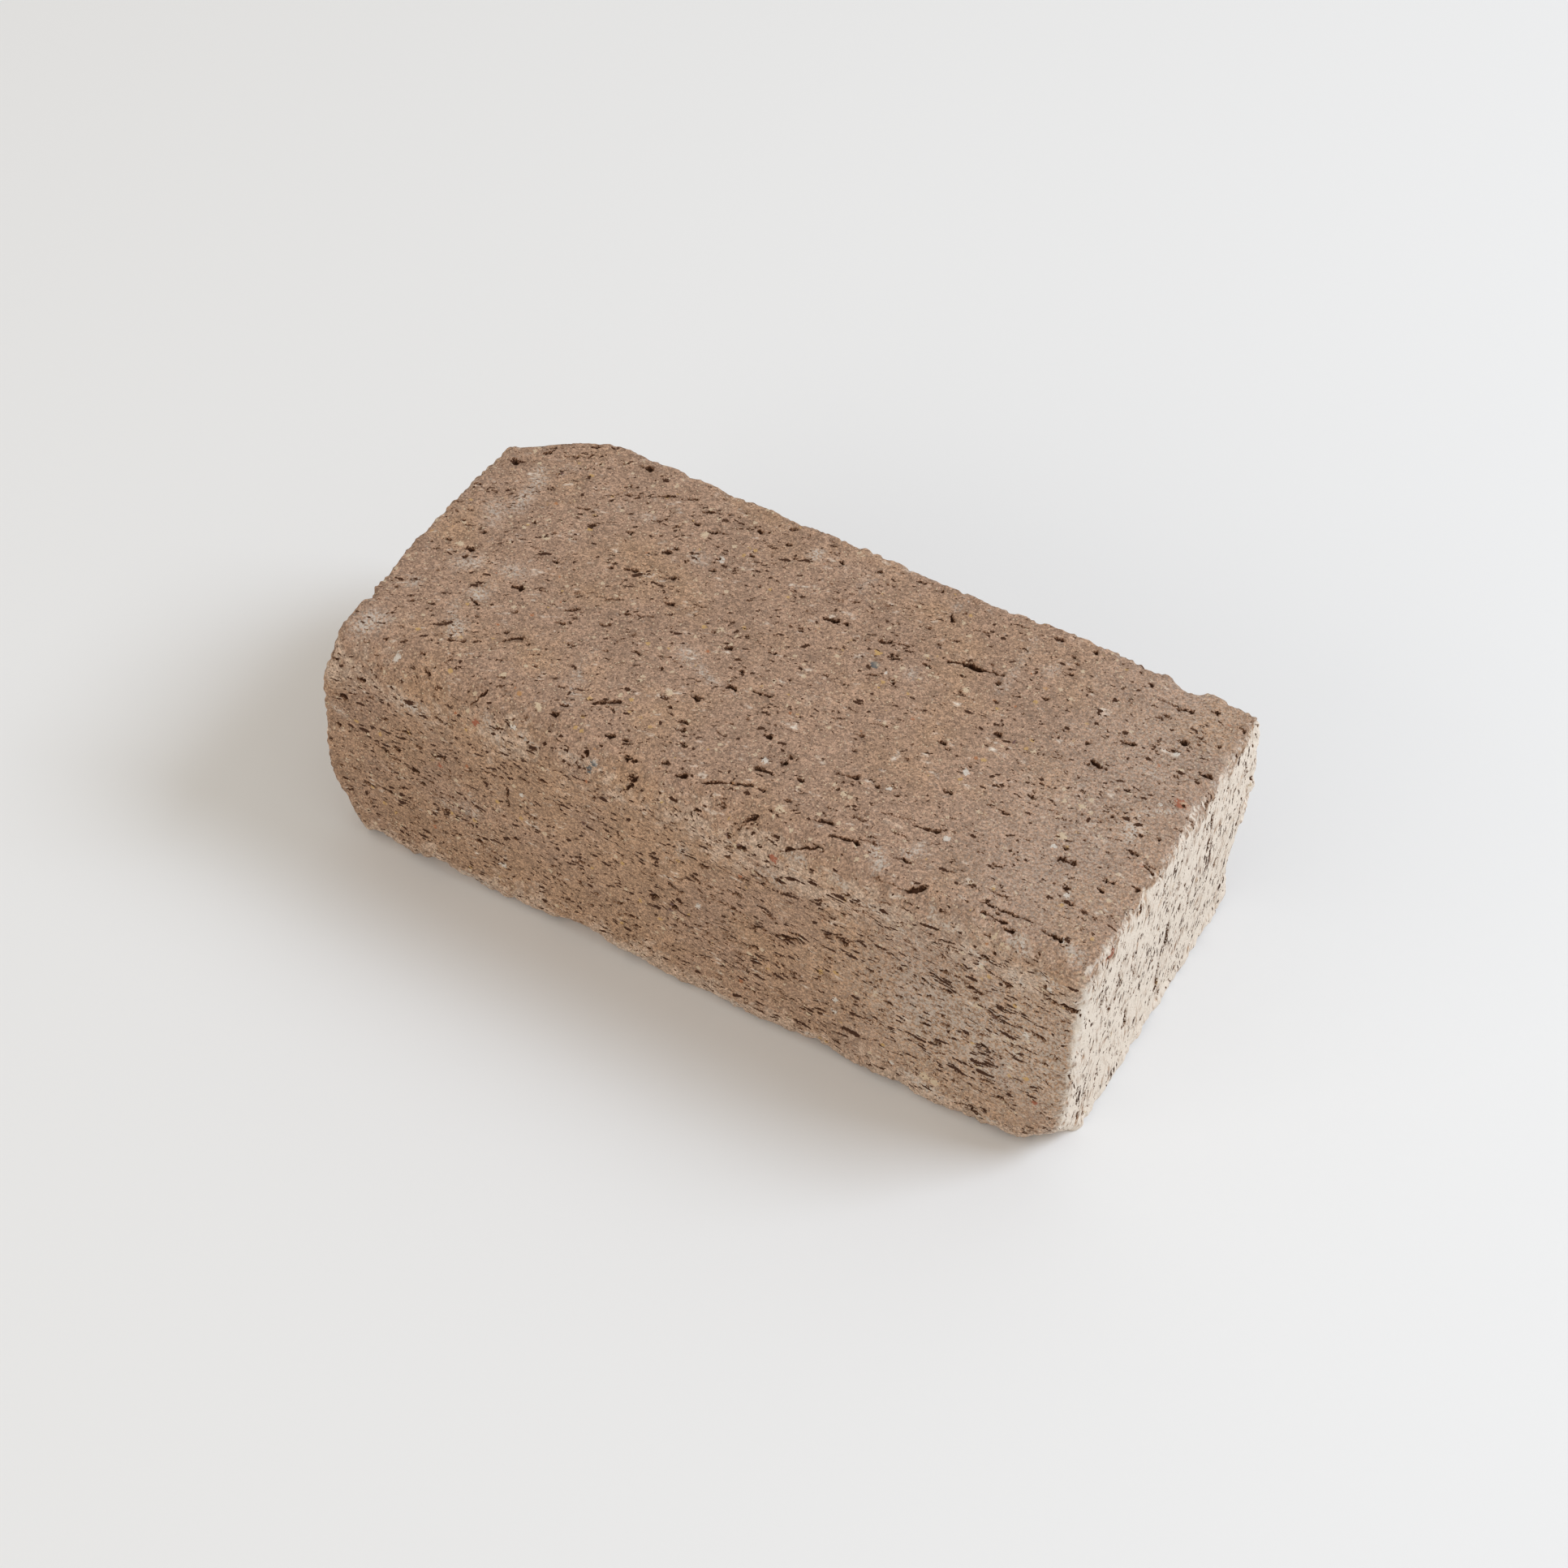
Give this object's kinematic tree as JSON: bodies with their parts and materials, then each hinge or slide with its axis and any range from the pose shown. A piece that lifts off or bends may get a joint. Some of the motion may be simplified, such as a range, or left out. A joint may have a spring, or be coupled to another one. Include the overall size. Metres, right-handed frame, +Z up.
{
  "type": "clay paver",
  "caption": "Solid oblong fired-clay paver with worn round arrises, knocked corners and a pitted, torn wire-cut surface, laid flat as paving or edging",
  "frame": {"origin": "middle of the footprint, on the bed face that the paver rests on", "axes": "+X along the length, +Y across the width from the front face to the back face, +Z up, out of the top face"},
  "size_m": [0.23, 0.11, 0.076],
  "materials": {
    "fired_clay": "matte"
  },
  "bodies": {
    "root": {"paver": "fired_clay"}
  },
  "joints": []
}
